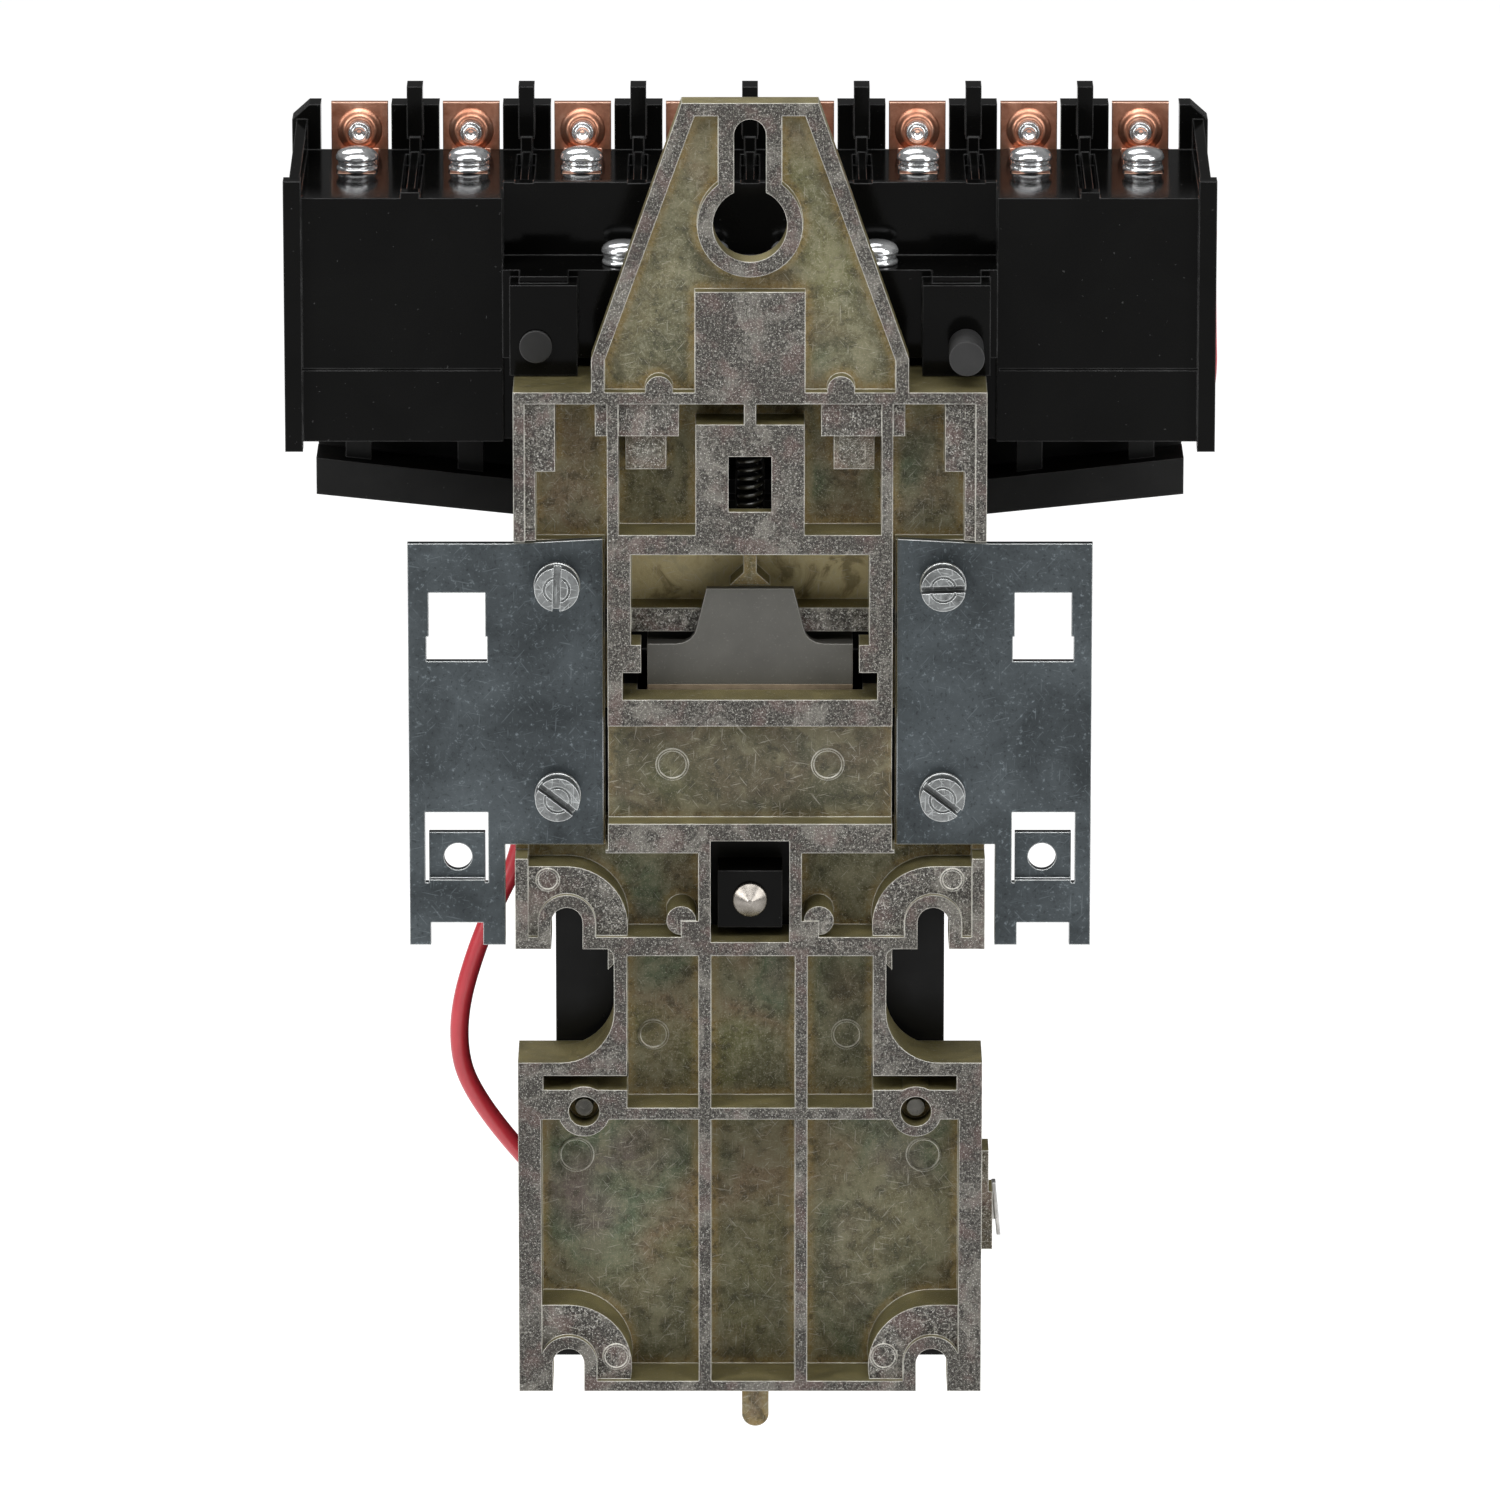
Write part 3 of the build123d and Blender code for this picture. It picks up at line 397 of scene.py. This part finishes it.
def wire(name, node, points):
    """Round lead along a soft curve through (x, depth, z) points in millimetres, in place of its CAD node."""
    curve = bpy.data.curves.new(name, "CURVE")
    curve.dimensions = "3D"
    spline = curve.splines.new("NURBS")
    spline.points.add(len(points) - 1)
    for place, (x, depth, z) in zip(spline.points, points):
        place.co = (x * MM, -depth * MM, z * MM, 1)
    spline.order_u = 3
    spline.use_endpoint_u = True
    spline.resolution_u = 24
    curve.bevel_depth = WIRE_D / 2
    curve.bevel_resolution = 8
    curve.use_fill_caps = True
    obj = bpy.data.objects.new(name, curve)
    bpy.context.collection.objects.link(obj)
    curve.materials.append(LOOKS["red_pvc"])
    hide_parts(node)
    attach(obj, "base")
    return obj


LEFT_ROUTE = [
    (36.5, 31, 16), (37.3, 31, -8), (45.8, 30, -24.5), (50.8, 30, -42), (47.8, 30.5, -55.5), (36.6, 32, -68.5),
]
RIGHT_ROUTE = [
    (-63.5, 62.6, 101.2), (-63.9, 78.2, 103.2), (-79.4, 85, 95), (-78.9, 77, 76), (-79.3, 71, 56),
    (-68, 69, 50), (-53, 65.5, 51.5), (-37.2, 59, 48), (-36.8, 53.5, 31), (-36.5, 33.5, 19),
]
wire_left = wire("wire_left", "control_wire_left", LEFT_ROUTE)
wire_right = wire("wire_right", "control_wire_right", RIGHT_ROUTE)

# ---------------------------------------------------------------- turned screws and collars
SEGMENTS = 40


def solid_object(name, points, faces, look):
    """Smooth closed mesh that rides on the base."""
    mesh = bpy.data.meshes.new(name)
    mesh.from_pydata(points, [], faces)
    mesh.validate()
    shell = bmesh.new()
    shell.from_mesh(mesh)
    bmesh.ops.recalc_face_normals(shell, faces=shell.faces)
    shell.to_mesh(mesh)
    shell.free()
    for face in mesh.polygons:
        face.use_smooth = True
    mesh.materials.append(look)
    obj = bpy.data.objects.new(name, mesh)
    bpy.context.collection.objects.link(obj)
    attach(obj, "base")
    return obj


def turned(name, places, profile, along_depth, look, ring=False):
    """Closed pieces of revolution at (x, depth, z) places, standing along Z or along the depth.

    The profile lists (radius, distance along the axis) in millimetres; a ring has a hole through it.
    """
    points, faces = [], []
    for x, depth, z in places:
        start = len(points)
        for r, along in profile:
            for i in range(SEGMENTS):
                turn = 2 * math.pi * i / SEGMENTS
                u, v = r * math.cos(turn), r * math.sin(turn)
                spot = (x + u, -(depth + along), z + v) if along_depth else (x + u, -depth + v, z + along)
                points.append(tuple(c * MM for c in spot))
        rows = len(profile)
        for row in range(rows if ring else rows - 1):
            this, above = start + row * SEGMENTS, start + (row + 1) % rows * SEGMENTS
            for i in range(SEGMENTS):
                j = (i + 1) % SEGMENTS
                faces.append((this + i, this + j, above + j, above + i))
        if not ring:
            faces.append(tuple(range(start, start + SEGMENTS)))
            faces.append(tuple(range(start + (rows - 1) * SEGMENTS, start + rows * SEGMENTS)))
    return solid_object(name, points, faces, look)


POLE_PITCH = 19.05
POLE_X = [(i - 3.5) * POLE_PITCH for i in range(8)]
LEDGE_ROW = (44.6, 105.0)
LOWER_ROW = (23.2, 93.6)
LOWER_ROW_X = (-21.4, -7.1, 7.1, 21.4)
TERMINAL_ROW = (61.2, 108.3)

# shank, two washers and a domed head
PAN_PROFILE = [
    (0.02, -3.4), (1.5, -3.4), (1.5, 0.0),
    (3.3, 0.0), (3.45, 0.12), (3.5, 0.35), (3.45, 0.62), (3.25, 0.78), (2.95, 0.84),
    (2.95, 0.90), (3.1, 0.95), (3.2, 1.1), (3.2, 1.45), (3.1, 1.6), (2.85, 1.68),
    (2.85, 1.74), (3.4, 1.8), (3.56, 1.95), (3.6, 2.2), (3.52, 2.6), (3.25, 3.05),
    (2.8, 3.42), (2.1, 3.72), (1.2, 3.9), (0.02, 3.96),
]
# dished end and five threads
TIP_PROFILE = [
    (0.02, -2.75), (0.72, -2.75), (0.78, -3.15), (1.30, -3.25), (1.42, -3.1), (1.50, -2.72), (1.82, -2.5),
    (1.90, -2.25), (1.72, -2.1), (1.90, -1.9), (1.72, -1.72), (1.90, -1.52), (1.72, -1.35), (1.90, -1.15),
    (1.72, -1.0), (1.90, -0.8), (1.90, 0.0),
]
COLLAR_PROFILE = [
    (1.9, -0.9), (2.2, -1.12), (2.55, -1.12), (2.85, -0.95), (3.1, -0.55), (3.5, -0.15), (3.9, 0.02),
    (3.9, 0.4), (1.9, 0.4),
]

pan_places = [(x, *LEDGE_ROW) for x in POLE_X] + [(x, *LOWER_ROW) for x in LOWER_ROW_X]
pan_screws = turned("pan_screws", pan_places, PAN_PROFILE, False, LOOKS["zinc_screw"])
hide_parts("housing_screws")

tip_places = [(x, *TERMINAL_ROW) for x in POLE_X]
tips = turned("screw_tips", tip_places, TIP_PROFILE, True, LOOKS["zinc_screw"])
collars = turned("strap_collars", tip_places, COLLAR_PROFILE, True, LOOKS["copper"], ring=True)

# ---------------------------------------------------------------- kick-out spring
SPRING_DEPTH = 6.6
SPRING_SEAT = 54.0
SPRING_HEAD = 67.0
SPRING_RADIUS = 1.75
SPRING_WIRE = 0.4
SPRING_PITCH = 1.5
PER_TURN = 30
AROUND_WIRE = 12


def coil_mesh(name, look):
    """Closed tube along a helix that stands between the spring's seat and its head."""
    height = SPRING_HEAD - SPRING_SEAT - 2 * SPRING_WIRE
    steps = int(round(height / SPRING_PITCH * PER_TURN))
    points, faces = [], []
    for step in range(steps + 1):
        turn = 2 * math.pi * step / PER_TURN
        middle = SPRING_SEAT + SPRING_WIRE + height * step / steps
        for i in range(AROUND_WIRE):
            a = 2 * math.pi * i / AROUND_WIRE
            r = SPRING_RADIUS + SPRING_WIRE * math.cos(a)
            spot = (r * math.cos(turn), -SPRING_DEPTH + r * math.sin(turn), middle + SPRING_WIRE * math.sin(a))
            points.append(tuple(c * MM for c in spot))
    for step in range(steps):
        for i in range(AROUND_WIRE):
            j = (i + 1) % AROUND_WIRE
            a, b = step * AROUND_WIRE, (step + 1) * AROUND_WIRE
            faces.append((a + i, a + j, b + j, b + i))
    faces.append(tuple(range(AROUND_WIRE)))
    faces.append(tuple(range(steps * AROUND_WIRE, (steps + 1) * AROUND_WIRE)))
    return solid_object(name, points, faces, look)


spring = coil_mesh("spring", LOOKS["spring_steel"])
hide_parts("kickout_spring")
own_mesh(spring)

# ---------------------------------------------------------------- floor and light
FLOOR_Z = -0.42
FLOOR_HALF = 8
PAPER_GREY = (0.48, 0.50)
PAPER_GLOW = 0.85
SKY_STRENGTH = 0.10
AT_PART = Vector((0, 0, 0))
# name, place, size and power of each softbox
SOFTBOXES = [
    ("key_left", (1.5, 1.1, 0.9), (0.9, 1.4), 26),
    ("key_right", (-1.5, 1.2, 0.7), (0.9, 1.4), 20),
    ("top", (0, 0.8, 1.5), (1.8, 1.0), 34),
    ("front_fill", (0.5, -1.2, 1.7), (1.4, 1.0), 20),
]

floor_mesh = bpy.data.meshes.new("floor")
corners = [(x * FLOOR_HALF, y * FLOOR_HALF, FLOOR_Z) for x, y in ((-1, -1), (1, -1), (1, 1), (-1, 1))]
floor_mesh.from_pydata(corners, [], [(0, 1, 2, 3)])
floor = bpy.data.objects.new("floor", floor_mesh)
bpy.context.collection.objects.link(floor)
paper = Shader("paper_look")
darker, lighter = ((grey, grey, grey) for grey in PAPER_GREY)
floor_mesh.materials.append(paper.finish(
    Base_Color=paper.ramp(paper.noise(3, 3), [(0.3, darker), (0.7, lighter)]), Roughness=0.9,
    Emission_Color=(1.0, 1.0, 1.0), Emission_Strength=PAPER_GLOW,
))

world = bpy.data.worlds.new("studio")
bpy.context.scene.world = world
world.use_nodes = True
sky = world.node_tree.nodes["Background"].inputs
sky[0].default_value = (1, 1, 1, 1)
sky[1].default_value = SKY_STRENGTH

for name, place, size, power in SOFTBOXES:
    data = bpy.data.lights.new(name, "AREA")
    data.shape = "RECTANGLE"
    data.size, data.size_y = size
    data.energy = power
    softbox = bpy.data.objects.new(name, data)
    softbox.location = place
    softbox.rotation_euler = (AT_PART - Vector(place)).to_track_quat("-Z", "Y").to_euler()
    bpy.context.collection.objects.link(softbox)
